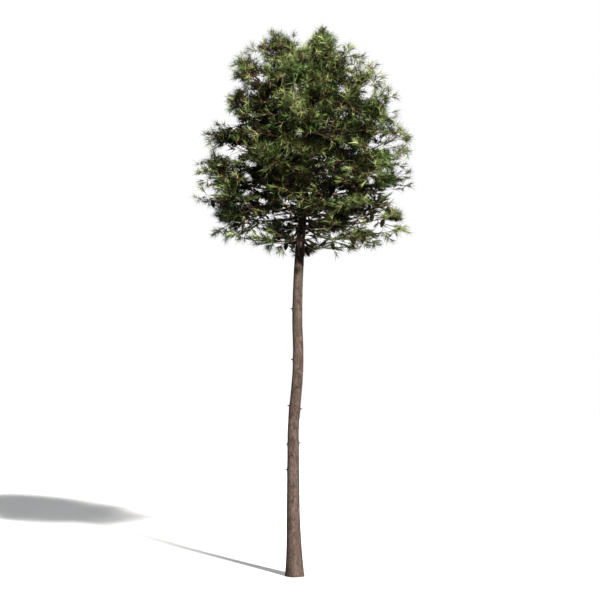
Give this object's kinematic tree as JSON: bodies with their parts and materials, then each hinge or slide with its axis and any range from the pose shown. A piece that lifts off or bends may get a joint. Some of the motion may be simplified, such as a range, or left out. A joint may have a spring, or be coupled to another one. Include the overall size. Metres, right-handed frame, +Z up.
{
  "type": "pine tree",
  "caption": "Tall pine with a long bare swaying trunk, stubs of pruned boughs and a broad rounded crown of long-needled foliage carried high up.",
  "frame": {"origin": "middle of the flat cut under the trunk, at ground level", "axes": "+Z up, +X to the right and -Y towards the viewer of the picture"},
  "size_m": [4.7766, 4.637, 12.0129],
  "materials": {
    "bark": "rough fissured bark, grey-brown with paler plates and a little lichen",
    "limb": "rough darker bark of the boughs",
    "needles": "waxy needles, dark inside the crown and yellow-green at the tips, on orange-brown twigs"
  },
  "bodies": {
    "root": {"bough_1_1": "limb", "bough_1_2": "limb", "bough_1_3": "limb", "bough_1_4": "limb", "bough_2_1": "limb", "bough_2_2": "limb", "bough_2_3": "limb", "bough_2_4": "limb", "bough_2_5": "limb", "bough_3_1": "limb", "bough_3_2": "limb", "bough_3_3": "limb", "bough_3_4": "limb", "bough_3_5": "limb", "bough_4_1": "limb", "bough_4_2": "limb", "bough_4_3": "limb", "bough_4_4": "limb", "bough_5_1": "limb", "bough_5_2": "limb", "bough_5_3": "limb", "bough_5_4": "limb", "bough_6_1": "limb", "bough_6_2": "limb", "bough_6_3": "limb", "bough_6_4": "limb", "bough_7_1": "limb", "bough_7_2": "limb", "bough_7_3": "limb", "foliage_1_1": "needles", "foliage_1_2": "needles", "foliage_1_3": "needles", "foliage_1_4": "needles", "foliage_2_1": "needles", "foliage_2_2": "needles", "foliage_2_3": "needles", "foliage_2_4": "needles", "foliage_2_5": "needles", "foliage_3_1": "needles", "foliage_3_2": "needles", "foliage_3_3": "needles", "foliage_3_4": "needles", "foliage_3_5": "needles", "foliage_4_1": "needles", "foliage_4_2": "needles", "foliage_4_3": "needles", "foliage_4_4": "needles", "foliage_5_1": "needles", "foliage_5_2": "needles", "foliage_5_3": "needles", "foliage_5_4": "needles", "foliage_6_1": "needles", "foliage_6_2": "needles", "foliage_6_3": "needles", "foliage_6_4": "needles", "foliage_7_1": "needles", "foliage_7_2": "needles", "foliage_7_3": "needles", "foliage_leader": "needles", "trunk": "bark"}
  },
  "joints": []
}
